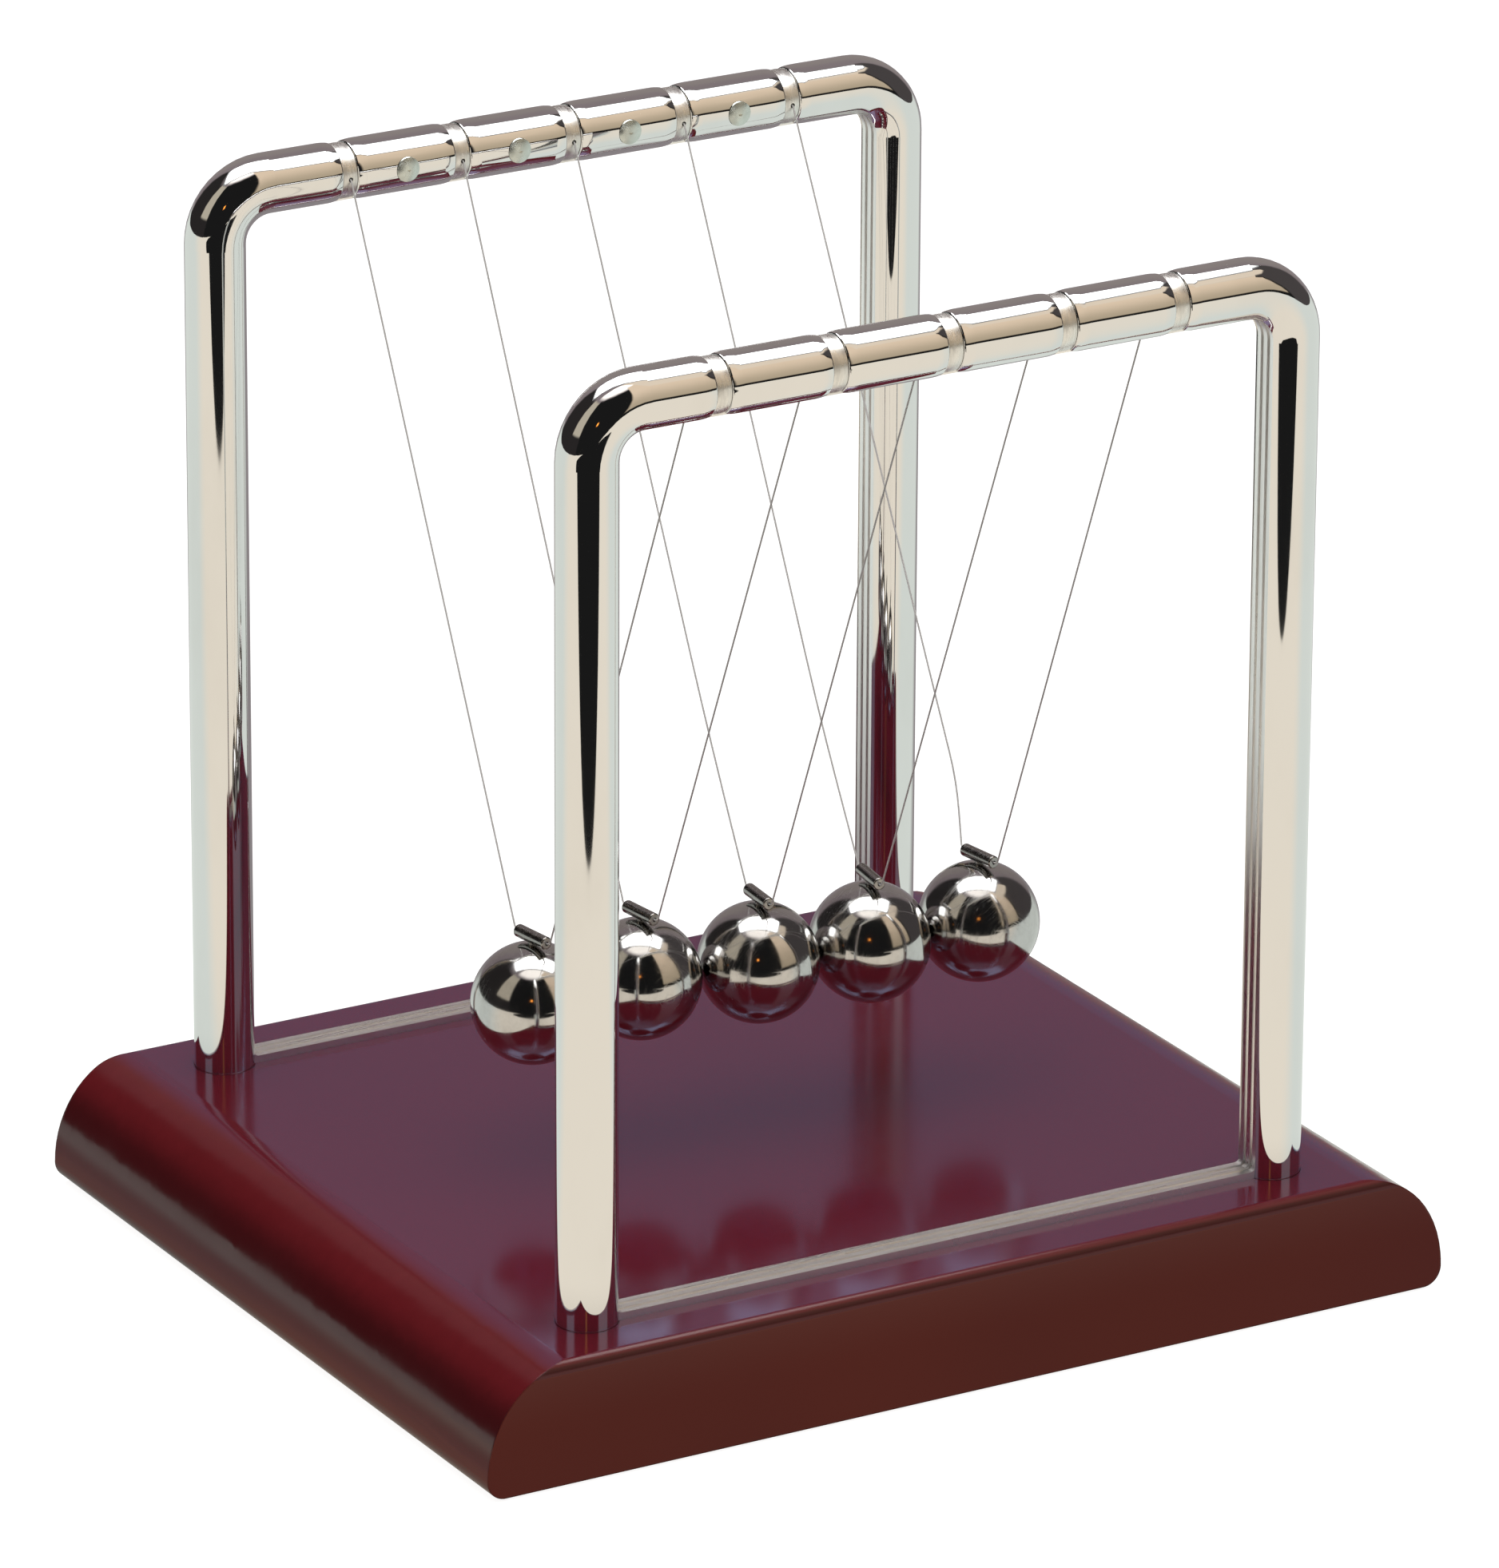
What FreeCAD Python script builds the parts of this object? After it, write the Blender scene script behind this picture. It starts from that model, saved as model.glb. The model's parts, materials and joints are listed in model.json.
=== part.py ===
"""Newton's cradle: five steel balls hung on two-leg lines between two moulded tube frames on a wooden base.

Frame of the part, in millimetres: X runs along the row of balls, Y from the front frame to the rear frame,
Z up. The origin is the middle of the plane that the foot pads stand on.
"""

import FreeCAD
import Part
import math
import os

# Wooden base
BASE_LENGTH = 180.0
BASE_DEPTH = 152.0
BASE_THICKNESS = 21.0
NOSE_REACH = 15.0           # how far the rounded ends reach in along the top
NOSE_FOOT_RADIUS = 3.3      # small round under each end
EDGE_BEVEL = 1.8            # rounding along the front and back of the top

# Foot pads
PAD_RADIUS = 6.0
PAD_PROUD = 0.5             # below the base
PAD_SUNK = 0.8              # into the base
PAD_SPACING_X = 152.0
PAD_SPACING_Y = 100.0

# Tube frames
LEG_SPACING = 129.0         # between leg centrelines of one frame
FRAME_SPACING = 125.0       # between the two frames' planes
BAR_ABOVE_BASE = 154.1      # top bar centreline over the base's top
TUBE_RADIUS = 5.1
TUBE_BORE = 3.4
BEND_RADIUS = 9.0           # of the centreline
SOCKET_DEPTH = 6.0          # how far the legs stand in the base
SOCKET_GAP = 0.05

# Closing strip that fills the slot on the inner side of each frame and lies on the base as a runner
STRIP_WIDTH = 5.0
STRIP_FACE = 4.3            # from the tube's centreline to the strip's visible face
STRIP_BACK = 3.1
STRIP_GAP = 0.03
RUNNER_HEIGHT = 1.2
RUNNER_CORNER = 1.0
RIB_GROOVE_WIDTH = 0.8
RIB_GROOVE_DEPTH = 0.35
RIB_GROOVE_OFFSET = 0.95    # of each groove from the strip's middle

# Balls, lines and their places along the bars
BALL_COUNT = 5
BALL_RADIUS = 10.3
BALL_GAP = 0.15             # between neighbours at rest
BALL_ABOVE_BASE = 27.3      # ball centre over the base's top
BALL_ROW_MIDDLE = 2.6       # x of the middle ball
BALL_SET_BACK = (1.5, 2.2, -0.9, -2.0, -2.7)  # how far behind the frames' mid-plane each ball hangs
LINE_RADIUS = 0.15
LINE_BEND = 1.2             # where a line leaves its eyelet
EYELET_LENGTH = 7.8
EYELET_RADIUS = 1.1
EYELET_BORE = 0.35
EYELET_LIFT = 11.6          # eyelet axis over the ball's centre
EYELET_YAW = (-8.0, -7.0, 4.0, 7.0, -8.0)
LINE_BOWS = {               # set left in the rear runs: (distance from the eyelet, shift in x, shift in y)
    3: ((28.0, -0.4, 0.6),),
    4: ((25.0, -0.5, 0.9),),
    5: ((11.5, 1.45, 0.0), (37.0, 1.0, 0.0)),
}
BOW_SHARE = 0.45            # part of the shorter run that a bow's arc takes up
NECK_RADIUS = 0.8
NECK_SUNK = 2.0             # into the ball
NECK_GAP = 0.03

# Ring bands in grooves round the bars
BAND_PITCH = 21.0
FRONT_BANDS_MIDDLE = -0.45  # x of the middle band on each bar
REAR_BANDS_MIDDLE = 0.35
BAND_WIDTH = 2.6
BAND_EDGE_RADIUS = 4.66
BAND_CROWN_RADIUS = 4.74
BAND_BORE = 4.12
GROOVE_FLOOR = 4.1
GROOVE_WIDTH = 2.7
LIP_ROUND = 0.3             # at the edges of a groove
SHOULDER_RUN = 1.8          # length of the gentle slope beyond the lip
SHOULDER_SLOPE = 10.0       # its steepest angle

# Holes for the lines, through band and tube, turned down from the bar's inner side
HOLE_ANGLE = 3.0
HOLE_RADIUS = 0.4
PIVOT_RADIUS = 4.77         # from the bar's centreline to the point a line swings about
STOP_RADIUS = 0.9
STOP_CENTRE = 2.4
STOP_TAIL_END = 4.6

# Round studs on the inner side of the bars, midway between the bands
STUD_RADIUS = 2.1
STUD_SEAT = 4.5
STUD_RIM = 5.15
STUD_CROWN = 5.45
STUD_SHANK = 1.0
STUD_SHANK_END = 3.45
STUD_GAP = 0.03

# Plugs in the leg ends, and the screws and washers that hold them from beneath
PLUG_RADIUS = 3.35
PLUG_LENGTH = 12.0
PLUG_FLAT = 3.0
PILOT_RADIUS = 1.45
SCREW_RADIUS = 1.4
SCREW_REACH = 7.0           # into the plug
SCREW_HEAD_RADIUS = 2.8
SCREW_HEAD_HEIGHT = 1.9
SCREW_RECESS_SPAN = 2.6
SCREW_RECESS_WIDTH = 0.6
SCREW_RECESS_DEPTH = 1.0
CLEARANCE_RADIUS = 1.7
COUNTERBORE_RADIUS = 3.7
COUNTERBORE_DEPTH = 5.0
WASHER_RADIUS = 3.4
WASHER_HOLE = 1.6
WASHER_THICKNESS = 0.6

# Worked out from the above
BASE_BOTTOM = PAD_PROUD
BASE_TOP = BASE_BOTTOM + BASE_THICKNESS
SOCKET_FLOOR = BASE_TOP - SOCKET_DEPTH
BAR_Z = BASE_TOP + BAR_ABOVE_BASE
BALL_Z = BASE_TOP + BALL_ABOVE_BASE
BALL_PITCH = 2 * BALL_RADIUS + BALL_GAP
SEAT_Z = BASE_BOTTOM + COUNTERBORE_DEPTH
FRAMES = {"front": -1, "rear": 1}
PLACES = [i - (BALL_COUNT - 1) / 2 for i in range(BALL_COUNT)]
BALL_X = [BALL_ROW_MIDDLE + place * BALL_PITCH for place in PLACES]
BAND_X = {
    -1: [FRONT_BANDS_MIDDLE + place * BAND_PITCH for place in PLACES],
    1: [REAR_BANDS_MIDDLE + place * BAND_PITCH for place in PLACES],
}
STUD_X = {sign: [(a + b) / 2 for a, b in zip(xs, xs[1:])] for sign, xs in BAND_X.items()}
CORNERS = [(frame, side) for frame in FRAMES for side in ("left", "right")]

X_AXIS = FreeCAD.Vector(1, 0, 0)
Y_AXIS = FreeCAD.Vector(0, 1, 0)
Z_AXIS = FreeCAD.Vector(0, 0, 1)


def vec(x, y, z):
    return FreeCAD.Vector(x, y, z)


def cylinder(radius, start, end):
    """Solid rod between two points."""
    run = end - start
    return Part.makeCylinder(radius, run.Length, start, run)


def box(low, high):
    size = high - low
    return Part.makeBox(size.x, size.y, size.z, low)


def corner_xy(frame, side):
    """Centre of one leg on the base."""
    x = LEG_SPACING / 2 * (1 if side == "right" else -1)
    return x, FRAMES[frame] * FRAME_SPACING / 2


def line_edge(start, end):
    return Part.LineSegment(start, end).toShape()


def arc_edge(x1, z1, x2, z2, x3, z3):
    """Arc in the XZ plane through three points."""
    return Part.Arc(vec(x1, 0, z1), vec(x2, 0, z2), vec(x3, 0, z3)).toShape()


def face_of(edges):
    return Part.Face(Part.Wire(edges))


# ---- base -------------------------------------------------------------------------------------------------


def end_profile():
    """Side view of the base: flat top and underside, each end a tall quarter ellipse over a small round."""
    half = BASE_LENGTH / 2
    rise = BASE_THICKNESS - NOSE_FOOT_RADIUS
    foot_z = BASE_BOTTOM + NOSE_FOOT_RADIUS
    edges = []
    for sign in (1, -1):
        middle = vec(sign * (half - NOSE_REACH), 0, foot_z)
        across = vec(sign * half, 0, foot_z)
        above = vec(middle.x, 0, BASE_TOP)
        ellipse = Part.Ellipse(above, across, middle)
        edges.append(ellipse_quarter(ellipse, above, across))
        foot_middle = vec(sign * (half - NOSE_FOOT_RADIUS), 0, foot_z)
        slant = NOSE_FOOT_RADIUS / math.sqrt(2)
        below = foot_middle - Z_AXIS * NOSE_FOOT_RADIUS
        halfway = foot_middle + vec(sign * slant, 0, -slant)
        edges.append(Part.Arc(across, halfway, below).toShape())
    top = half - NOSE_REACH
    bottom = half - NOSE_FOOT_RADIUS
    edges.append(line_edge(vec(-top, 0, BASE_TOP), vec(top, 0, BASE_TOP)))
    edges.append(line_edge(vec(-bottom, 0, BASE_BOTTOM), vec(bottom, 0, BASE_BOTTOM)))
    return face_of(Part.sortEdges(edges)[0])


def ellipse_quarter(ellipse, start, end):
    """The quarter of an ellipse between the ends of its two axes."""
    first = ellipse.parameter(start)
    last = ellipse.parameter(end)
    turn = (last - first) % (2 * math.pi)
    if turn > math.pi:
        first, last = last, first
    return ellipse.toShape(first, first + (last - first) % (2 * math.pi))


def depth_profile():
    """End view of the base: a rectangle with its two upper corners rounded."""
    half = BASE_DEPTH / 2
    low = BASE_BOTTOM
    side = BASE_TOP - EDGE_BEVEL
    flat = half - EDGE_BEVEL
    slant = EDGE_BEVEL / math.sqrt(2)
    edges = [line_edge(vec(0, -half, low), vec(0, half, low))]
    for sign in (1, -1):
        edges.append(line_edge(vec(0, sign * half, low), vec(0, sign * half, side)))
        halfway = vec(0, sign * (flat + slant), side + slant)
        edges.append(Part.Arc(vec(0, sign * half, side), halfway, vec(0, sign * flat, BASE_TOP)).toShape())
    edges.append(line_edge(vec(0, -flat, BASE_TOP), vec(0, flat, BASE_TOP)))
    return face_of(Part.sortEdges(edges)[0])


def base_blank():
    """The base before drilling: both profiles run through each other."""
    along = end_profile()
    along.translate(Y_AXIS * -BASE_DEPTH / 2)
    blank = along.extrude(Y_AXIS * BASE_DEPTH)
    across = depth_profile()
    across.translate(X_AXIS * -BASE_LENGTH)
    return blank.common(across.extrude(X_AXIS * 2 * BASE_LENGTH))


def base_board():
    board = base_blank()
    tools = []
    for frame, side in CORNERS:
        x, y = corner_xy(frame, side)
        socket_top = vec(x, y, BASE_TOP + 1)
        tools.append(cylinder(TUBE_RADIUS + SOCKET_GAP, vec(x, y, SOCKET_FLOOR), socket_top))
        tools.append(cylinder(CLEARANCE_RADIUS, vec(x, y, 0), socket_top))
        tools.append(cylinder(COUNTERBORE_RADIUS, vec(x, y, 0), vec(x, y, SEAT_Z)))
    for x, y in pad_places():
        tools.append(cylinder(PAD_RADIUS, vec(x, y, 0), vec(x, y, BASE_BOTTOM + PAD_SUNK)))
    return board.cut(tools)


def pad_places():
    return [(sx * PAD_SPACING_X / 2, sy * PAD_SPACING_Y / 2) for sy in (-1, 1) for sx in (-1, 1)]


def foot_pad(x, y):
    pad = cylinder(PAD_RADIUS, vec(x, y, 0), vec(x, y, PAD_PROUD + PAD_SUNK))
    lower = [edge for edge in pad.Edges if edge.BoundBox.ZMax < 1e-6]
    return pad.makeFillet(PAD_PROUD / 3, lower)


# ---- tube frames ------------------------------------------------------------------------------------------


def slotted(solid, low, high):
    """Cut the strip's slot, a block that reaches in to just behind the strip."""
    return solid.cut(box(low, high))


def frame_leg(x, y, inward):
    """Straight leg tube; its slot starts where it stands out of the base. inward is +1 on the left leg."""
    bend_z = BAR_Z - BEND_RADIUS
    foot = vec(x, y, SOCKET_FLOOR)
    head = vec(x, y, bend_z)
    leg = cylinder(TUBE_RADIUS, foot, head).cut(cylinder(TUBE_BORE, foot, head))
    depth = STRIP_BACK - STRIP_GAP
    half = STRIP_WIDTH / 2 + STRIP_GAP
    xs = sorted((x + inward * depth, x + inward * 2 * TUBE_RADIUS))
    return slotted(leg, vec(xs[0], y - half, BASE_TOP), vec(xs[1], y + half, bend_z + 1))


def frame_bend(leg, x, y, inward):
    """Quarter turn from a leg to the bar: the leg's own end face, swept round."""
    bend_z = BAR_Z - BEND_RADIUS
    section = [face for face in leg.Faces if face.BoundBox.ZMin > bend_z - 1e-3][0]
    return section.revolve(vec(x + inward * BEND_RADIUS, y, bend_z), Y_AXIS, 90 * inward)


def shoulder_points():
    """Rise from a groove's edge to the full tube, as (run, radius) points of a lip arc and a shoulder arc."""
    slope = math.radians(SHOULDER_SLOPE)
    sweep = SHOULDER_RUN / math.sin(slope)
    lip = TUBE_RADIUS - sweep * (1 - math.cos(slope)) - LIP_ROUND * math.cos(slope)
    points = [(0, lip)]
    lip_turn = math.pi / 2 - slope
    for turn in (lip_turn / 2, lip_turn):
        points.append((LIP_ROUND * (1 - math.cos(turn)), lip + LIP_ROUND * math.sin(turn)))
    full = points[-1][0] + SHOULDER_RUN
    points.append((full - sweep * math.sin(slope / 2), TUBE_RADIUS - sweep * (1 - math.cos(slope / 2))))
    points.append((full, TUBE_RADIUS))
    return points


def shoulder_edges(edge_x, away):
    """Lip and shoulder arcs, outward from a groove's edge. away is -1 on its left side, +1 on its right."""
    at = [(edge_x + away * run, radius) for run, radius in shoulder_points()]
    return [arc_edge(*at[0], *at[1], *at[2]), arc_edge(*at[2], *at[3], *at[4])]


def bar_profile(xs):
    """Half section of the hollow bar along its length, with a groove and rounded shoulders for each band."""
    end_x = LEG_SPACING / 2 - BEND_RADIUS
    lip = shoulder_points()[0][1]
    full_run = shoulder_points()[-1][0]
    edges = []
    at = vec(-end_x, 0, TUBE_RADIUS)
    for x in xs:
        left = x - GROOVE_WIDTH / 2
        right = x + GROOVE_WIDTH / 2
        edges.append(line_edge(at, vec(left - full_run, 0, TUBE_RADIUS)))
        edges += reversed(shoulder_edges(left, -1))
        edges.append(line_edge(vec(left, 0, lip), vec(left, 0, GROOVE_FLOOR)))
        edges.append(line_edge(vec(left, 0, GROOVE_FLOOR), vec(right, 0, GROOVE_FLOOR)))
        edges.append(line_edge(vec(right, 0, GROOVE_FLOOR), vec(right, 0, lip)))
        edges += shoulder_edges(right, 1)
        at = vec(right + full_run, 0, TUBE_RADIUS)
    corners = [
        at,
        vec(end_x, 0, TUBE_RADIUS),
        vec(end_x, 0, TUBE_BORE),
        vec(-end_x, 0, TUBE_BORE),
        vec(-end_x, 0, TUBE_RADIUS),
    ]
    edges += [line_edge(start, end) for start, end in zip(corners, corners[1:])]
    return face_of(edges)


def frame_bar(sign):
    """The grooved top bar, drilled for its lines and seated for its studs."""
    y = sign * FRAME_SPACING / 2
    bar = bar_profile(BAND_X[sign]).revolve(vec(0, 0, 0), X_AXIS, 360)
    bar.translate(vec(0, y, BAR_Z))
    length = LEG_SPACING
    half = STRIP_WIDTH / 2 + STRIP_GAP
    slot_top = BAR_Z - STRIP_BACK + STRIP_GAP
    bar = slotted(bar, vec(-length, y - half, BAR_Z - 2 * TUBE_RADIUS), vec(length, y + half, slot_top))
    holes = [line_hole(x, sign) for x in BAND_X[sign]] + [stud_seat(x, sign) for x in STUD_X[sign]]
    return bar.cut(holes)


def window(inset, y, half_width, low, low_radius):
    """Block that fills the inside of a frame, up to a given distance from the tube's centreline."""
    half = LEG_SPACING / 2 - inset
    block = box(vec(-half, y - half_width, low), vec(half, y + half_width, BAR_Z - inset))
    upper = [edge for edge in cross_edges(block) if edge.BoundBox.ZMin > BAR_Z - inset - 1e-3]
    block = block.makeFillet(BEND_RADIUS - inset, upper)
    if low_radius:
        lower = [edge for edge in cross_edges(block) if edge.BoundBox.ZMax < low + 1e-3]
        block = block.makeFillet(low_radius, lower)
    return block


def cross_edges(block):
    """Edges of a block that run along Y."""
    picked = []
    for edge in block.Edges:
        bounds = edge.BoundBox
        if bounds.XLength < 1e-3 and bounds.ZLength < 1e-3:
            picked.append(edge)
    return picked


def hole_direction(sign):
    """From the bar's centreline out through a line hole: inwards and down. sign is -1 at the front bar."""
    angle = math.radians(HOLE_ANGLE)
    return vec(0, -sign * math.cos(angle), -math.sin(angle))


def bar_point(x, sign, distance):
    """Point on the axis of a line hole, at a distance from the bar's centreline."""
    return vec(x, sign * FRAME_SPACING / 2, BAR_Z) + hole_direction(sign) * distance


def line_hole(x, sign):
    return cylinder(HOLE_RADIUS, bar_point(x, sign, TUBE_BORE - 1), bar_point(x, sign, TUBE_RADIUS + 1))


def stud_seat(x, sign):
    """Flat recess and hole for one stud."""
    inward = vec(0, -sign, 0)
    middle = vec(x, sign * FRAME_SPACING / 2, BAR_Z)
    recess = cylinder(STUD_RADIUS + STUD_GAP, middle + inward * STUD_SEAT, middle + inward * (TUBE_RADIUS + 1))
    hole = cylinder(STUD_SHANK + STUD_GAP, middle + inward * (TUBE_BORE - 1), middle + inward * TUBE_RADIUS)
    return recess.fuse(hole)


def frame_tube(sign):
    """One frame: slotted leg, bend, grooved bar, bend and leg, all one hollow moulding."""
    y = sign * FRAME_SPACING / 2
    tube = frame_bar(sign)
    for inward in (1, -1):
        x = -inward * LEG_SPACING / 2
        leg = frame_leg(x, y, inward)
        tube = tube.fuse(frame_bend(leg, x, y, inward)).fuse(leg)
    return tube


def inner_strip(sign):
    """Ribbed loop that closes a frame's slot and lies on the base between the legs."""
    y = sign * FRAME_SPACING / 2
    half = STRIP_WIDTH / 2
    face_low = BASE_TOP + RUNNER_HEIGHT
    loop = window(STRIP_BACK, y, half, BASE_TOP, 0).cut(
        window(STRIP_FACE, y, half + 1, face_low, RUNNER_CORNER)
    )
    grooves = []
    for offset in (-RIB_GROOVE_OFFSET, RIB_GROOVE_OFFSET):
        inset = STRIP_FACE - RIB_GROOVE_DEPTH
        low = face_low - RIB_GROOVE_DEPTH
        grooves.append(window(inset, y + offset, RIB_GROOVE_WIDTH / 2, low, RUNNER_CORNER))
    return loop.cut(grooves)


def ring_band(x, sign):
    """Crowned band that snaps into a groove, open underneath where it passes the strip."""
    half = BAND_WIDTH / 2
    y = sign * FRAME_SPACING / 2
    crown = Part.Arc(
        vec(-half, 0, BAND_EDGE_RADIUS), vec(0, 0, BAND_CROWN_RADIUS), vec(half, 0, BAND_EDGE_RADIUS)
    )
    inner_left = vec(-half, 0, BAND_BORE)
    inner_right = vec(half, 0, BAND_BORE)
    edges = [
        crown.toShape(),
        line_edge(vec(half, 0, BAND_EDGE_RADIUS), inner_right),
        line_edge(inner_right, inner_left),
        line_edge(inner_left, vec(-half, 0, BAND_EDGE_RADIUS)),
    ]
    band = face_of(edges).revolve(vec(0, 0, 0), X_AXIS, 360)
    band.translate(vec(x, y, BAR_Z))
    gap_half = STRIP_WIDTH / 2 + STRIP_GAP
    gap = box(vec(x - half - 1, y - gap_half, BAR_Z - 2 * TUBE_RADIUS), vec(x + half + 1, y + gap_half, BAR_Z))
    return band.cut([gap, line_hole(x, sign)])


def studs(sign):
    """The domed studs on one bar, as separate solids."""
    return Part.makeCompound([stud(x, sign) for x in STUD_X[sign]])


def stud(x, sign):
    rim = vec(STUD_RADIUS, 0, STUD_RIM)
    crown = vec(0, 0, STUD_CROWN)
    corners = [
        crown,
        vec(0, 0, STUD_SHANK_END),
        vec(STUD_SHANK, 0, STUD_SHANK_END),
        vec(STUD_SHANK, 0, STUD_SEAT),
        vec(STUD_RADIUS, 0, STUD_SEAT),
        rim,
    ]
    edges = [line_edge(a, b) for a, b in zip(corners, corners[1:])]
    sag = STUD_CROWN - STUD_RIM
    dome = (STUD_RADIUS ** 2 + sag ** 2) / (2 * sag)
    halfway_x = STUD_RADIUS / 2
    halfway_z = STUD_CROWN - dome + math.sqrt(dome ** 2 - halfway_x ** 2)
    edges.append(Part.Arc(rim, vec(halfway_x, 0, halfway_z), crown).toShape())
    shape = face_of(edges).revolve(vec(0, 0, 0), Z_AXIS, 360)
    shape.rotate(vec(0, 0, 0), X_AXIS, 90 * sign)
    shape.translate(vec(x, sign * FRAME_SPACING / 2, BAR_Z))
    return shape


# ---- fixings ----------------------------------------------------------------------------------------------


def leg_plug(frame, side):
    """Plug in a leg's end, flattened towards the strip, with a pilot hole for the screw."""
    x, y = corner_xy(frame, side)
    plug = cylinder(PLUG_RADIUS, vec(x, y, SOCKET_FLOOR), vec(x, y, SOCKET_FLOOR + PLUG_LENGTH))
    inward = -1 if side == "right" else 1
    flat_near = x + inward * PLUG_FLAT
    flat_far = x + inward * 2 * PLUG_FLAT
    low = vec(min(flat_near, flat_far), y - PLUG_RADIUS, SOCKET_FLOOR - 1)
    high = vec(max(flat_near, flat_far), y + PLUG_RADIUS, SOCKET_FLOOR + PLUG_LENGTH + 1)
    pilot = cylinder(PILOT_RADIUS, vec(x, y, SOCKET_FLOOR - 1), vec(x, y, SOCKET_FLOOR + SCREW_REACH + 1))
    return plug.cut([box(low, high), pilot])


def fixing_screw(x, y):
    """Pan-head screw with a cross recess, head down in its counterbore."""
    seat = SEAT_Z - WASHER_THICKNESS
    head = cylinder(SCREW_HEAD_RADIUS, vec(x, y, seat - SCREW_HEAD_HEIGHT), vec(x, y, seat))
    lower = [edge for edge in head.Edges if edge.BoundBox.ZMax < seat - SCREW_HEAD_HEIGHT + 1e-6]
    head = head.makeFillet(SCREW_HEAD_HEIGHT / 2, lower)
    screw = head.fuse(cylinder(SCREW_RADIUS, vec(x, y, seat), vec(x, y, SOCKET_FLOOR + SCREW_REACH)))
    bottom = seat - SCREW_HEAD_HEIGHT
    span = SCREW_RECESS_SPAN / 2
    width = SCREW_RECESS_WIDTH / 2
    top = bottom + SCREW_RECESS_DEPTH
    slot_a = box(vec(x - span, y - width, bottom - 1), vec(x + span, y + width, top))
    slot_b = box(vec(x - width, y - span, bottom - 1), vec(x + width, y + span, top))
    return screw.cut([slot_a, slot_b])


def washer(x, y):
    low = SEAT_Z - WASHER_THICKNESS
    disc = cylinder(WASHER_RADIUS, vec(x, y, low), vec(x, y, SEAT_Z))
    return disc.cut(cylinder(WASHER_HOLE, vec(x, y, low - 1), vec(x, y, SEAT_Z + 1)))


def at_every_leg(make):
    """One group of separate, identical fasteners, one under each leg."""
    return Part.makeCompound([make(*corner_xy(frame, side)) for frame, side in CORNERS])


def line_stop(x, sign):
    """Crimped bead inside the bar with the short tail of line that leads to the hole's mouth."""
    bead = Part.makeSphere(STOP_RADIUS, bar_point(x, sign, STOP_CENTRE))
    tail = cylinder(LINE_RADIUS, bar_point(x, sign, STOP_CENTRE), bar_point(x, sign, STOP_TAIL_END))
    return bead.fuse(tail)


# ---- hanging parts ----------------------------------------------------------------------------------------


def eyelet_axis(number):
    """Direction of one eyelet's tube, nearly along Y."""
    yaw = math.radians(EYELET_YAW[number])
    return vec(math.sin(yaw), math.cos(yaw), 0)


def ball_centre(number):
    return vec(BALL_X[number], BALL_SET_BACK[number], BALL_Z)


def ball(number):
    centre = ball_centre(number)
    sphere = Part.makeSphere(BALL_RADIUS, centre)
    socket_floor = centre + Z_AXIS * (BALL_RADIUS - NECK_SUNK)
    return sphere.cut(cylinder(NECK_RADIUS + NECK_GAP, socket_floor, socket_floor + Z_AXIS * 2 * NECK_SUNK))


def eyelet_middle(number):
    return ball_centre(number) + Z_AXIS * EYELET_LIFT


def eyelet(number):
    """Small cross tube on a neck that is pressed into the top of a ball."""
    middle = eyelet_middle(number)
    half = eyelet_axis(number) * (EYELET_LENGTH / 2)
    tube = cylinder(EYELET_RADIUS, middle - half, middle + half)
    rims = [edge for edge in tube.Edges if edge.Closed]
    tube = tube.makeFillet(EYELET_RADIUS / 4, rims)
    neck_foot = ball_centre(number) + Z_AXIS * (BALL_RADIUS - NECK_SUNK + NECK_GAP)
    body = tube.fuse(cylinder(NECK_RADIUS, neck_foot, middle))
    return body.cut(cylinder(EYELET_BORE, middle - half * 2, middle + half * 2))


def line_route(number):
    """Corner points of one line: front hole, front and rear ends of the eyelet, any bows, rear hole."""
    half = eyelet_axis(number) * (EYELET_LENGTH / 2)
    front_mouth = eyelet_middle(number) - half
    rear_mouth = eyelet_middle(number) + half
    front_pivot = bar_point(BAND_X[-1][number], -1, PIVOT_RADIUS)
    rear_pivot = bar_point(BAND_X[1][number], 1, PIVOT_RADIUS)
    run = (rear_pivot - rear_mouth).normalize()
    bows = [rear_mouth + run * reach + vec(dx, dy, 0) for reach, dx, dy in LINE_BOWS.get(number + 1, ())]
    upper = bows + [rear_pivot]
    front = mouth_corner(front_mouth, -eyelet_axis(number), front_pivot)
    rear = mouth_corner(rear_mouth, eyelet_axis(number), upper[0])
    return [front_pivot, front, rear] + upper


def mouth_corner(mouth, outward, pivot):
    """Where the eyelet's axis meets the line's upper run, so that the bend between them starts at the mouth."""
    turn = outward.getAngle(pivot - mouth)
    return mouth + outward * (LINE_BEND * math.tan(turn / 2))


def arc_setback(points, index):
    """Distance from a corner of a line to its arc: tight at the eyelet's ends, as long as the runs allow at a bow."""
    before, corner, after = points[index - 1:index + 2]
    if index <= 2:
        turn = (corner - before).getAngle(after - corner)
        return LINE_BEND * math.tan(turn / 2)
    return BOW_SHARE * min((corner - before).Length, (after - corner).Length)


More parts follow.
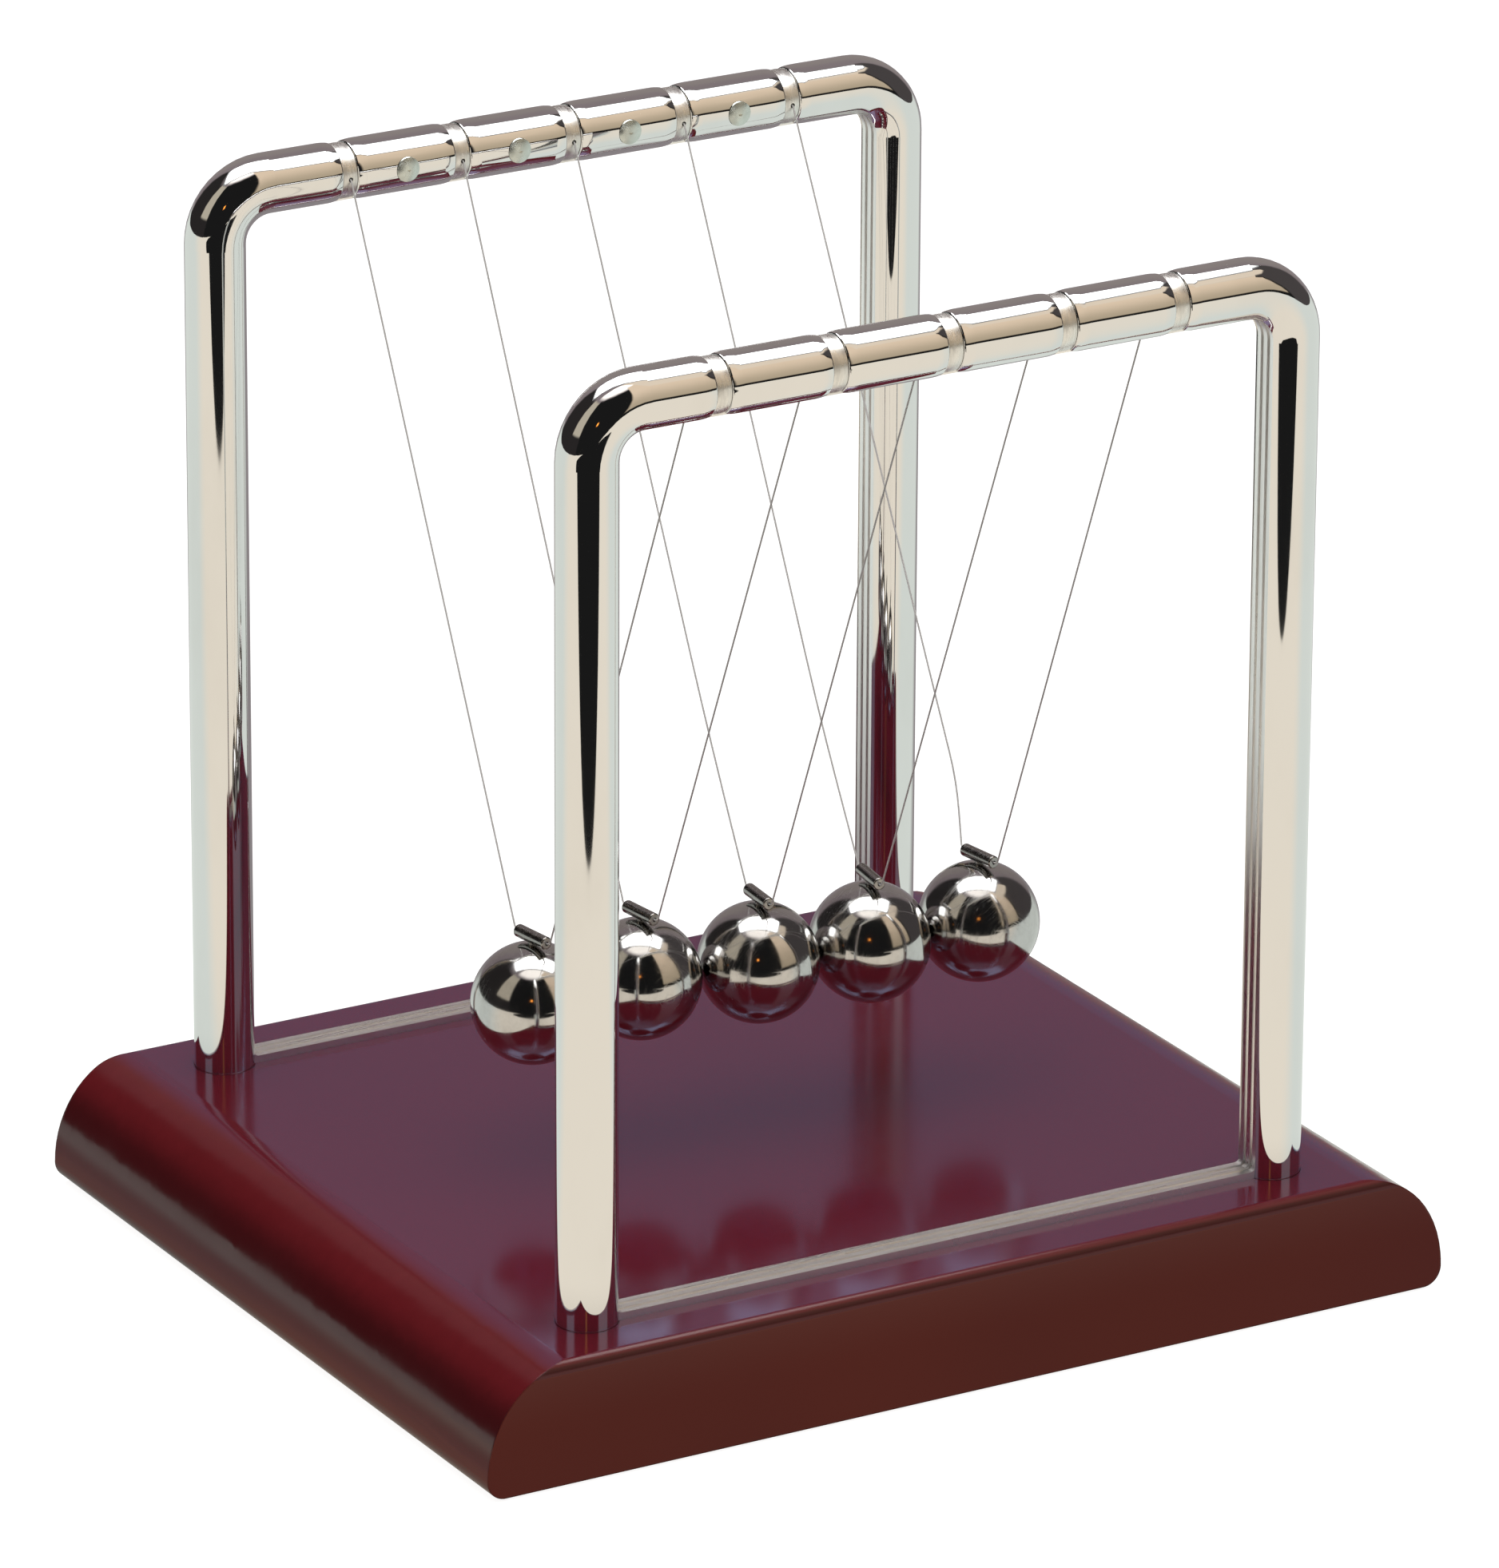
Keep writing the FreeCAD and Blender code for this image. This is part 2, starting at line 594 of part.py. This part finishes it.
def hanging_line(number):
    """One length of line from bar to bar through the eyelet: straight runs joined by tangent arcs."""
    points = line_route(number)
    edges = []
    start = points[0]
    for index in range(1, len(points) - 1):
        before, corner, after = points[index - 1:index + 2]
        arrive = (corner - before).normalize()
        leave = (after - corner).normalize()
        half_turn = arrive.getAngle(leave) / 2
        back = arc_setback(points, index)
        radius = back / math.tan(half_turn)
        arc_start = corner - arrive * back
        arc_end = corner + leave * back
        to_middle = (leave - arrive).normalize()
        bulge = radius / math.cos(half_turn) - radius
        edges.append(line_edge(start, arc_start))
        edges.append(Part.Arc(arc_start, corner + to_middle * bulge, arc_end).toShape())
        start = arc_end
    edges.append(line_edge(start, points[-1]))
    path = Part.Wire(edges)
    section = Part.Wire(Part.makeCircle(LINE_RADIUS, points[0], edges[0].tangentAt(0)))
    swept = path.makePipeShell([section], True, True)
    length = sum(edge.Length for edge in edges)
    expected = math.pi * LINE_RADIUS ** 2 * length
    print(f"line_{number + 1}: length {length:.2f} mm, volume ratio {swept.Volume / expected:.4f}")
    return swept


# ---- all nodes --------------------------------------------------------------------------------------------


def all_nodes():
    nodes = {"base_board": base_board()}
    for number, (x, y) in enumerate(pad_places(), 1):
        nodes[f"foot_pad_{number}"] = foot_pad(x, y)
    for frame, sign in FRAMES.items():
        nodes[f"{frame}_frame_tube"] = frame_tube(sign)
        nodes[f"{frame}_inner_strip"] = inner_strip(sign)
        nodes[f"{frame}_bar_studs"] = studs(sign)
        nodes[f"{frame}_line_stops"] = Part.makeCompound([line_stop(x, sign) for x in BAND_X[sign]])
        for number, x in enumerate(BAND_X[sign], 1):
            nodes[f"{frame}_ring_band_{number}"] = ring_band(x, sign)
    for frame, side in CORNERS:
        nodes[f"{frame}_{side}_leg_plug"] = leg_plug(frame, side)
    nodes["fixing_screws"] = at_every_leg(fixing_screw)
    nodes["fixing_washers"] = at_every_leg(washer)
    for number in range(BALL_COUNT):
        nodes[f"ball_{number + 1}"] = ball(number)
        nodes[f"eyelet_{number + 1}"] = eyelet(number)
        nodes[f"line_{number + 1}"] = hanging_line(number)
    return nodes


def main():
    os.makedirs("parts", exist_ok=True)
    for name, shape in all_nodes().items():
        if not shape.isValid() or shape.Volume <= 0:
            raise ValueError(f"{name} is not a sound solid")
        shape.exportStep(f"parts/{name}.step")
    for number in range(BALL_COUNT):
        front = line_route(number)[0]
        rear = line_route(number)[-1]
        print(f"swing_{number + 1} front x {front.x:.3f} rear x {rear.x:.3f} y {rear.y:.4f} z {rear.z:.4f}")


main()
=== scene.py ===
"""Looks of the Newton's cradle: plated frames, polished steel balls, nylon lines and a lacquered base.

Metres, in the frame of the CAD model: X along the row of balls, Y from the front frame to the rear, Z up.
"""

import json
import math

import bpy
from mathutils import Matrix, Vector

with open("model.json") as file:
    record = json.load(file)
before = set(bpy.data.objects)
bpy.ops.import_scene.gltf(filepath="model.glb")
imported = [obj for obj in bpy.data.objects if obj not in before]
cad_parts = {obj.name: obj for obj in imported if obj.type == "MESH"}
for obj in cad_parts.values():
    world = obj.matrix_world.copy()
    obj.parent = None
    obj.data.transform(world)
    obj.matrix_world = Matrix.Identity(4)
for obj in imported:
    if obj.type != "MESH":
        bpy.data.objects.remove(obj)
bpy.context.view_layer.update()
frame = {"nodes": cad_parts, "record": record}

MM = 0.001

# Camera: where it stands, seen from the part's origin, and its lens
CAMERA_PLACE = Vector((-0.8948, -1.5470, 0.7582))
CAMERA_AZIMUTH = math.radians(-30.079)
CAMERA_ELEVATION = math.radians(20.766)
CAMERA_ROLL = math.radians(0.309)
CAMERA_LENS = 265.98        # mm, on a 36 mm sensor along the picture's long side

# Studio: what the camera sees of it, and the light that surfaces scatter
PALE = (0.99, 0.99, 0.985)
DOME = (1.36, 1.34, 1.32)   # from overhead
SIDES = (0.10, 0.098, 0.096)
DOME_RISE = (15.0, 60.0)    # elevations between which one turns into the other

# Studio: the room that reflections see
DARK = (0.012, 0.012, 0.012)
WALL = (0.27, 0.225, 0.235)
BEIGE_LOW = (0.54, 0.44, 0.31)
BEIGE_HIGH = (0.92, 0.73, 0.54)
BEIGE_RISE = (5.0, 52.0)    # elevations of the two colours

# Floor
FLOOR_HALF = 6.0
FLOOR_GREY = (0.30, 0.30, 0.30)         # takes the shadows
FLOOR_LIFT = (0.92, 0.92, 0.915)        # and this brings it up to the background
FLOOR_SCATTER = (0.20, 0.19, 0.18)      # light that it gives to other surfaces
FLOOR_SIDE = (0.80, 0.85, 0.80)         # what reflections see of it, by direction from the origin
FLOOR_FRONT = (0.96, 0.88, 0.75)
FLOOR_BEHIND = (0.30, 0.27, 0.28)
TABLE_EDGE = 0.351          # the lit table ends this far from the origin, towards the camera
TABLE_SKEW = 0.155          # and that much nearer for each metre to the right
TABLE_BOW = 1.09            # its edge is bowed: this, times the square of the distance across, farther
TABLE_MARGIN = 0.002        # half the width of the edge's soft margin
TABLE_CORNER = (0.85, 0.95)             # the table has no edge beyond this slant to the right
CONTACT = 0.06              # length of a short ray, such as those between the floor and the base's sides; the floor's glow is darkened for these as painted contact shadow
# colour of that painted contact shadow, and its largest share
PAINTED_CONTACT_SHADOW = (0.04, 0.04, 0.04)
PAINTED_SHADOW_SHARE = 0.6

# Softbox overhead
SOFTBOX_POWER = 5.0
SOFTBOX_REST = 0.3          # strength outside its soft margin
SOFTBOX_FADE = 0.05         # soft margin
SOFTBOX_HEIGHT = 0.55
SOFTBOX_SIDE = 0.30         # half width, across the camera's direction
SOFTBOX_NEAR = 0.070        # reach towards the camera
SOFTBOX_FAR = 0.240


# Lacquer: colours by how far a face looks up
# the flat top: the lacquer's own red with a little extra blue, which is painted reflection of the violet
# sheen
LACQUER_TOP = (0.162, 0.0115, 0.0215)
LACQUER_PAINTED_SHADE = (0.028, 0.0040, 0.0050)      # painted shade on the rounded ends, where they turn away from the overhead light
# how far up the faces look where that painted shade lies
PAINTED_SHADE_UP_RANGE = (0.18, 0.62)
LACQUER_UPRIGHT = (0.200, 0.0220, 0.0120)
LACQUER_VIOLET = (0.02, 0.36, 0.98)
VIOLET_MOST = 0.25                          # largest share of the violet reflection
LACQUER_EDGE = 0.5 * MM                     # rounding of the edges


# ---- node helpers -----------------------------------------------------------------------------------------


class Graph:
    """Adds shader nodes to a tree and joins them."""

    def __init__(self, tree):
        self.tree = tree
        tree.nodes.clear()

    def add(self, kind, inputs=None, **settings):
        node = self.tree.nodes.new(kind)
        for name, value in settings.items():
            setattr(node, name, value)
        for key, value in (inputs or {}).items():
            self.put(node.inputs[key], value)
        return node

    def put(self, socket, value):
        """Link a socket or set its value."""
        if isinstance(value, bpy.types.NodeSocket):
            self.tree.links.new(value, socket)
        elif isinstance(value, tuple) and len(value) == 3 and socket.type == "RGBA":
            socket.default_value = (*value, 1.0)
        else:
            socket.default_value = value

    def math(self, operation, a, b=0.0):
        return self.add("ShaderNodeMath", {0: a, 1: b}, operation=operation).outputs[0]

    def step(self, value, low, high, start=0.0, end=1.0):
        """Smooth step from start at low to end at high."""
        inputs = {"Value": value, "From Min": low, "From Max": high, "To Min": start, "To Max": end}
        return self.add("ShaderNodeMapRange", inputs, interpolation_type="SMOOTHSTEP").outputs["Result"]

    def window(self, value, low, high, soft):
        """1 between low and high, falling to 0 over a distance of soft at each side."""
        rise = self.step(value, low - soft / 2, low + soft / 2)
        fall = self.step(value, high - soft / 2, high + soft / 2, 1.0, 0.0)
        return self.math("MULTIPLY", rise, fall)

    def mix(self, share, a, b):
        """a where share is 0 and b where it is 1."""
        node = self.add("ShaderNodeMix", data_type="RGBA")
        self.put(node.inputs["Factor"], share)
        first, second = [socket for socket in node.inputs if socket.type == "RGBA"]
        self.put(first, a)
        self.put(second, b)
        return [out for out in node.outputs if out.type == "RGBA"][0]

    def noise(self, vector, scale, detail=2.0, roughness=0.5, distortion=0.0):
        inputs = {
            "Vector": vector, "Scale": scale, "Detail": detail,
            "Roughness": roughness, "Distortion": distortion,
        }
        return self.add("ShaderNodeTexNoise", inputs).outputs["Fac"]

    def place(self, stretch=(1.0, 1.0, 1.0), turn=(0.0, 0.0, 0.0)):
        """The piece's own coordinates in metres, stretched and turned."""
        own = self.add("ShaderNodeTexCoord").outputs["Object"]
        return self.add("ShaderNodeMapping", {"Vector": own, "Rotation": turn, "Scale": stretch}).outputs[0]

    def bump(self, height, distance, strength=1.0, under=None):
        inputs = {"Height": height, "Distance": distance, "Strength": strength}
        if under is not None:
            inputs["Normal"] = under
        return self.add("ShaderNodeBump", inputs).outputs[0]

    def finish(self, shader, target="ShaderNodeOutputMaterial"):
        self.add(target, {"Surface": shader})


def material(name):
    made = bpy.data.materials.new(name)
    made.use_nodes = True
    return made, Graph(made.node_tree)


# ---- camera -----------------------------------------------------------------------------------------------


def make_camera():
    a, e, roll = CAMERA_AZIMUTH, CAMERA_ELEVATION, CAMERA_ROLL
    back = Vector((math.sin(a) * math.cos(e), -math.cos(a) * math.cos(e), math.sin(e)))
    right = Vector((math.cos(a), math.sin(a), 0.0))
    up = back.cross(right)
    turned_right = right * math.cos(roll) + up * math.sin(roll)
    turned_up = up * math.cos(roll) - right * math.sin(roll)
    data = bpy.data.cameras.new("camera")
    data.lens = CAMERA_LENS
    data.sensor_width = 36.0
    data.clip_start = 0.05
    data.clip_end = 50.0
    camera = bpy.data.objects.new("camera", data)
    bpy.context.scene.collection.objects.link(camera)
    turn = Matrix((turned_right, turned_up, back)).transposed()
    camera.matrix_world = Matrix.Translation(CAMERA_PLACE) @ turn.to_4x4()
    bpy.context.scene.camera = camera


# ---- studio -----------------------------------------------------------------------------------------------


def direction_angles(g):
    """Azimuth and elevation of a direction in degrees: azimuth 0 is the front, -Y, and 90 is +X."""
    way = g.add("ShaderNodeTexCoord").outputs["Generated"]
    parts = g.add("ShaderNodeSeparateXYZ", {0: way}).outputs
    back = g.math("MULTIPLY", parts[1], -1.0)
    azimuth = g.math("DEGREES", g.math("ARCTAN2", parts[0], back))
    elevation = g.math("DEGREES", g.math("ARCSINE", parts[2]))
    return azimuth, elevation


def make_world():
    """Room of walls, warm panels and one small lamp for reflections, with a dome of light for the rest."""
    world = bpy.data.worlds.new("studio")
    world.use_nodes = True
    bpy.context.scene.world = world
    g = Graph(world.node_tree)
    azimuth, elevation = direction_angles(g)
    beige = g.mix(g.step(elevation, *BEIGE_RISE), BEIGE_LOW, BEIGE_HIGH)
    panels = [
        # azimuth range, elevation range, softness, colour; a later panel covers an earlier one
        ((118.0, 182.0), (2.0, 42.0), 24.0, (0.30, 0.26, 0.25)),        # behind, mirrored by the base's top
        ((-168.0, -72.0), (-20.0, 58.0), 9.0, (0.026, 0.023, 0.023)),   # dark on the left
        ((48.0, 112.0), (-20.0, 56.0), 9.0, (0.075, 0.066, 0.066)),     # and on the right
        ((-95.0, 75.0), (66.0, 96.0), 9.0, (1.7, 1.6, 1.5)),            # ceiling
        ((-75.0, 54.0), (-40.0, 63.0), 5.0, DARK),                      # round the camera
        ((-106.0, -76.0), (18.0, 60.0), 4.0, (0.56, 0.50, 0.40)),       # beige on the left
        ((14.0, 51.0), (5.0, 70.0), 3.0, beige),                        # and on the right
        ((38.0, 86.0), (48.0, 96.0), 4.0, (0.92, 0.78, 0.62)),          # with more above it
        ((-33.0, -29.0), (22.8, 26.2), 2.0, (2.6, 0.85, 0.12)),         # small orange lamp
    ]
    colour = WALL
    for (az_low, az_high), (el_low, el_high), soft, paint in panels:
        inside = g.math(
            "MULTIPLY", g.window(azimuth, az_low, az_high, soft), g.window(elevation, el_low, el_high, soft)
        )
        colour = g.mix(inside, colour, paint)
    path = g.add("ShaderNodeLightPath").outputs
    colour = g.mix(path["Is Diffuse Ray"], colour, g.mix(g.step(elevation, *DOME_RISE), SIDES, DOME))
    colour = g.mix(path["Is Camera Ray"], colour, PALE)
    g.finish(g.add("ShaderNodeBackground", {"Color": colour}).outputs[0], "ShaderNodeOutputWorld")
    world.cycles.sampling_method = "NONE"


def stage_sheet(name, corners, shader):
    """Flat stage piece with its own material."""
    mesh = bpy.data.meshes.new(name)
    mesh.from_pydata(corners, [], [(0, 1, 2, 3)])
    sheet = bpy.data.objects.new(name, mesh)
    bpy.context.scene.collection.objects.link(sheet)
    mesh.materials.append(shader)
    return sheet


def along_view(across, toward, height):
    """Point given by its distances across the camera's direction and towards the camera."""
    c, s = math.cos(CAMERA_AZIMUTH), math.sin(CAMERA_AZIMUTH)
    return (across * c + toward * s, across * s - toward * c, height)


def view_axes(g):
    """Distances across the camera's direction and towards the camera, and the plain coordinates."""
    parts = g.add("ShaderNodeSeparateXYZ", {0: g.add("ShaderNodeTexCoord").outputs["Object"]}).outputs
    c, s = math.cos(CAMERA_AZIMUTH), math.sin(CAMERA_AZIMUTH)
    across = g.math("ADD", g.math("MULTIPLY", parts[0], c), g.math("MULTIPLY", parts[1], s))
    toward = g.math("SUBTRACT", g.math("MULTIPLY", parts[0], s), g.math("MULTIPLY", parts[1], c))
    return across, toward, parts


def unseen(sheet):
    """Keep a stage sheet out of the camera's sight and out of shadows."""
    sheet.visible_camera = False
    sheet.visible_shadow = False


def make_softbox():
    """Bright sheet overhead, square to the camera's direction, which only reflections and surfaces see."""
    made, g = material("softbox_glow")
    made.cycles.emission_sampling = "NONE"
    path = g.add("ShaderNodeLightPath").outputs
    across, toward, _ = view_axes(g)
    fade = SOFTBOX_FADE
    inside = g.math(
        "MULTIPLY",
        g.window(across, fade / 2 - SOFTBOX_SIDE, SOFTBOX_SIDE - fade / 2, fade),
        g.window(toward, fade / 2 - SOFTBOX_FAR, SOFTBOX_NEAR - fade / 2, fade),
    )
    strength = g.step(inside, 0.0, 1.0, SOFTBOX_REST, SOFTBOX_POWER)
    strength = g.mix(path["Is Diffuse Ray"], strength, DOME)
    g.finish(g.add("ShaderNodeEmission", {"Color": strength}).outputs[0])
    corners = [
        along_view(side * SOFTBOX_SIDE, reach, SOFTBOX_HEIGHT)
        for side, reach in ((-1, SOFTBOX_NEAR), (1, SOFTBOX_NEAR), (1, -SOFTBOX_FAR), (-1, -SOFTBOX_FAR))
    ]
    unseen(stage_sheet("softbox", corners, made))


def floor_tint(g):
    """Floor as reflections see it: warm in front, cool at the sides, and dark past the table's edge."""
    across, toward, parts = view_axes(g)
    square = g.math("ADD", g.math("MULTIPLY", parts[0], parts[0]), g.math("MULTIPLY", parts[1], parts[1]))
    tiny = 1e-6             # keeps the division defined at the origin
    share = g.math("DIVIDE", toward, g.math("SQRT", g.math("ADD", square, tiny)))
    tint = g.mix(g.step(share, 0.1, 0.6), FLOOR_SIDE, FLOOR_FRONT)
    tint = g.mix(g.step(share, -0.92, -0.72, 1.0, 0.0), tint, FLOOR_BEHIND)
    bow = g.math("MULTIPLY", g.math("MULTIPLY", across, across), TABLE_BOW)
    reach = g.math("SUBTRACT", g.math("ADD", toward, g.math("MULTIPLY", across, TABLE_SKEW)), bow)
    beyond = g.step(reach, TABLE_EDGE - TABLE_MARGIN, TABLE_EDGE + TABLE_MARGIN)
    slant = g.math("DIVIDE", across, g.math("MAXIMUM", toward, 0.01))
    return g.mix(g.math("MULTIPLY", beyond, g.step(slant, *TABLE_CORNER, 1.0, 0.0)), tint, DARK)


def make_floor():
    """Plain pale floor; reflections and scattered light see a glow of painted light with a tint of its own,
    darkened by painted contact shadow on short rays.
    """
    made, g = material("pale_floor")
    made.cycles.emission_sampling = "NONE"
    path = g.add("ShaderNodeLightPath").outputs
    # painted contact shadow: the glow darkens for short rays, such as those from the base's sides
    near = g.step(path["Ray Length"], CONTACT * 0.4, CONTACT * 1.3, PAINTED_SHADOW_SHARE, 0.0)
    tint = g.mix(near, floor_tint(g), PAINTED_CONTACT_SHADOW)
    tint = g.mix(path["Is Diffuse Ray"], tint, FLOOR_SCATTER)
    glow = g.add("ShaderNodeEmission", {"Color": tint}).outputs[0]
    plain = g.add("ShaderNodeBsdfDiffuse", {"Color": FLOOR_GREY}).outputs[0]
    lift = g.add("ShaderNodeEmission", {"Color": FLOOR_LIFT}).outputs[0]
    pale = g.add("ShaderNodeAddShader", {0: plain, 1: lift}).outputs[0]
    g.finish(g.add("ShaderNodeMixShader", {0: path["Is Camera Ray"], 1: glow, 2: pale}).outputs[0])
    h = FLOOR_HALF
    stage_sheet("floor", [(-h, -h, 0), (h, -h, 0), (h, h, 0), (-h, h, 0)], made)


# ---- materials --------------------------------------------------------------------------------------------


def specks(g, scale, size, share):
    """1 inside tiny dots scattered over a piece, and 0 elsewhere."""
    cells = g.add("ShaderNodeTexVoronoi", {"Vector": g.place(), "Scale": scale}, feature="F1")
    dot = g.step(cells.outputs["Distance"], size * 0.6, size, 1.0, 0.0)
    pick = g.add("ShaderNodeSeparateColor", {0: cells.outputs["Color"]}).outputs[0]
    return g.math("MULTIPLY", dot, g.step(pick, share * 0.98, share * 1.02, 1.0, 0.0))


def scratches(g, scale, turn, thin=0.02):
    """Height of fine hair scratches that run one way."""
    lines = g.noise(g.place((1.0, 26.0, 1.0), turn), scale, 2.0, 0.5, 0.3)
    gap = g.math("ABSOLUTE", g.math("SUBTRACT", lines, 0.5))
    return g.step(gap, 0.0, thin, 1.0, 0.0)


def lacquer_colour(g, up, flat, dust):
    """Red over a faint grain; painted shade darkens a stripe along the rounded ends, the upright faces are
    brown, and the flat top's extra blue is painted reflection.
    """
    grain = g.noise(g.place((9.0, 120.0, 120.0)), 3.0, 5.0, 0.6, 0.4)
    cloud = g.noise(g.place(), 14.0, 2.0)
    colour = g.mix(g.step(grain, 0.3, 0.8), (0.150, 0.0105, 0.0150), (0.162, 0.0115, 0.0165))
    # flat top: own red plus a touch of painted violet reflection
    colour = g.mix(flat, colour, LACQUER_TOP)
    # painted shade: a darker stripe where the rounded ends turn from the overhead light
    painted_shade_share = g.math("MULTIPLY", g.window(up, *PAINTED_SHADE_UP_RANGE, 0.28), 0.65)
    colour = g.mix(painted_shade_share, colour, LACQUER_PAINTED_SHADE)
    colour = g.mix(g.step(up, 0.02, 0.12), LACQUER_UPRIGHT, colour)
    colour = g.mix(g.step(cloud, 0.3, 0.7, 0.0, 0.18), colour, (0.085, 0.0060, 0.0090))
    return g.mix(dust, colour, (0.75, 0.66, 0.55))


def lacquered_wood():
    """Glossy lacquer whose flat top mirrors the room in violet."""
    made, g = material("lacquered_wood")
    up = g.add("ShaderNodeSeparateXYZ", {0: g.add("ShaderNodeTexCoord").outputs["Normal"]}).outputs[2]
    flat = g.step(up, 0.93, 0.995)
    dust = specks(g, 60.0, 0.012, 0.10)
    edge = g.add("ShaderNodeBevel", {"Radius": LACQUER_EDGE}, samples=4).outputs[0]
    peel = g.noise(g.place(), 220.0, 2.0)
    normal = g.bump(peel, 0.004 * MM, 0.6, edge)
    smear = g.noise(g.place((1.0, 2.2, 1.0)), 30.0, 3.0)
    roughness = g.step(smear, 0.3, 0.75, 0.13, 0.18)
    roughness = g.mix(dust, roughness, (0.7, 0.7, 0.7))
    lacquer = g.add("ShaderNodeBsdfPrincipled", {
        "Base Color": lacquer_colour(g, up, flat, dust),
        "Roughness": roughness,
        "Specular IOR Level": 0.35,
        "Normal": normal,
    })
    violet = g.add("ShaderNodeBsdfGlossy", {
        "Color": LACQUER_VIOLET,
        "Roughness": roughness,
        "Normal": normal,
    })
    fresnel = g.add("ShaderNodeFresnel", {"IOR": 1.37, "Normal": normal}).outputs[0]
    share = g.math("MINIMUM", g.math("MULTIPLY", fresnel, 1.45), VIOLET_MOST)
    share = g.math("MULTIPLY", share, flat)
    g.finish(g.add("ShaderNodeMixShader", {0: share, 1: lacquer.outputs[0], 2: violet.outputs[0]}).outputs[0])
    return made


def plated_chrome():
    made, g = material("plated_chrome")
    wave = g.noise(g.place(), 90.0, 1.0)
    ripple = g.noise(g.place((1.0, 1.0, 0.15)), 700.0, 2.0)
    normal = g.bump(ripple, 0.0006 * MM, 0.5, g.bump(wave, 0.012 * MM, 0.5))
    smear = g.noise(g.place((1.0, 1.0, 0.4)), 60.0, 4.0, 0.6)
    colour = g.mix(g.step(smear, 0.45, 0.8, 0.0, 0.5), (0.77, 0.77, 0.765), (0.70, 0.695, 0.68))
    colour = g.mix(specks(g, 140.0, 0.02, 0.06), colour, (0.28, 0.26, 0.24))
    shader = g.add("ShaderNodeBsdfPrincipled", {
        "Base Color": colour,
        "Metallic": 1.0,
        "Roughness": g.step(smear, 0.35, 0.8, 0.02, 0.06),
        "Normal": normal,
    })
    g.finish(shader.outputs[0])
    return made


def polished_steel():
    made, g = material("polished_steel")
    mottle = g.noise(g.place(), 320.0, 5.0, 0.7)
    cloud = g.noise(g.place(), 110.0, 3.0)
    marks = scratches(g, 120.0, (0.4, 0.2, 0.9))
    marks = g.math("MAXIMUM", marks, scratches(g, 150.0, (1.3, 0.5, -0.6)))
    marks = g.math("MULTIPLY", marks, g.step(cloud, 0.45, 0.6))
    colour = g.mix(g.step(mottle, 0.35, 0.75, 0.0, 0.5), (0.56, 0.555, 0.545), (0.44, 0.43, 0.42))
    roughness = g.math("ADD", g.step(mottle, 0.35, 0.75, 0.075, 0.15), g.math("MULTIPLY", marks, 0.16))
    normal = g.bump(marks, 0.0012 * MM, 0.4, g.bump(mottle, 0.0008 * MM, 0.5))
    shader = g.add("ShaderNodeBsdfPrincipled", {
        "Base Color": colour,
        "Metallic": 1.0,
        "Roughness": roughness,
        "Normal": normal,
    })
    g.finish(shader.outputs[0])
    return made


def metal(name, colour, rough_low, rough_high, grain=400.0, stretch=(1.0, 1.0, 1.0), depth=0.004):
    """Plain metal with fine grain in its roughness and surface."""
    made, g = material(name)
    fine = g.noise(g.place(stretch), grain, 3.0, 0.6)
    shader = g.add("ShaderNodeBsdfPrincipled", {
        "Base Color": g.mix(g.step(fine, 0.3, 0.7, 0.0, 0.3), colour, tuple(0.7 * c for c in colour)),
        "Metallic": 1.0,
        "Roughness": g.step(fine, 0.3, 0.7, rough_low, rough_high),
        "Normal": g.bump(fine, depth * MM, 0.5),
    })
    g.finish(shader.outputs[0])
    return made


def plain_finish(name, dark, light, roughness, grain=300.0, depth=0.02):
    """Plastic, rubber or nylon with a fine mottle."""
    made, g = material(name)
    fine = g.noise(g.place(), grain, 3.0)
    shader = g.add("ShaderNodeBsdfPrincipled", {
        "Base Color": g.mix(g.step(fine, 0.3, 0.7), dark, light),
        "Roughness": g.step(fine, 0.3, 0.7, roughness * 0.85, roughness * 1.15),
        "Normal": g.bump(fine, depth * MM, 0.4),
    })
    g.finish(shader.outputs[0])
    return made


def make_materials():
    """Material of each of the record's slots."""
    return {
        "lacquered_wood": lacquered_wood(),
        "chrome_tube": plated_chrome(),
        "chrome_strip": metal("chrome_strip", (0.92, 0.91, 0.90), 0.26, 0.38, 800.0, (0.03, 1.0, 0.03), 0.11),
        "satin_band": metal("satin_band", (0.80, 0.79, 0.76), 0.26, 0.40, 500.0, (8.0, 1.0, 1.0)),
        "stud_metal": metal("stud_metal", (0.62, 0.66, 0.62), 0.22, 0.34),
        "fixing_steel": metal("fixing_steel", (0.60, 0.60, 0.58), 0.2, 0.35),
        "eyelet_steel": metal("eyelet_steel", (0.33, 0.32, 0.31), 0.16, 0.3, 900.0),
        "crimp_metal": metal("crimp_metal", (0.62, 0.62, 0.62), 0.25, 0.4),
        "plug_plastic": plain_finish("plug_plastic", (0.02, 0.02, 0.02), (0.035, 0.035, 0.035), 0.5),
        "pad_rubber": plain_finish("pad_rubber", (0.03, 0.03, 0.03), (0.05, 0.05, 0.048), 0.8, 900.0, 0.05),
        "polished_steel": polished_steel(),
        "nylon_line": plain_finish("nylon_line", (0.80, 0.78, 0.76), (0.92, 0.90, 0.88), 0.3),
    }


def paint_nodes(materials):
    """Give every CAD node its slot's material."""
    for part in frame["record"]["subparts"]:
        node = frame["nodes"][part["node"]]
        node.data.materials.clear()
        node.data.materials.append(materials[part["material_slot"]])


# ---- all together -----------------------------------------------------------------------------------------


make_camera()
make_world()
make_softbox()
make_floor()
paint_nodes(make_materials())
bpy.context.scene.view_settings.view_transform = "Standard"
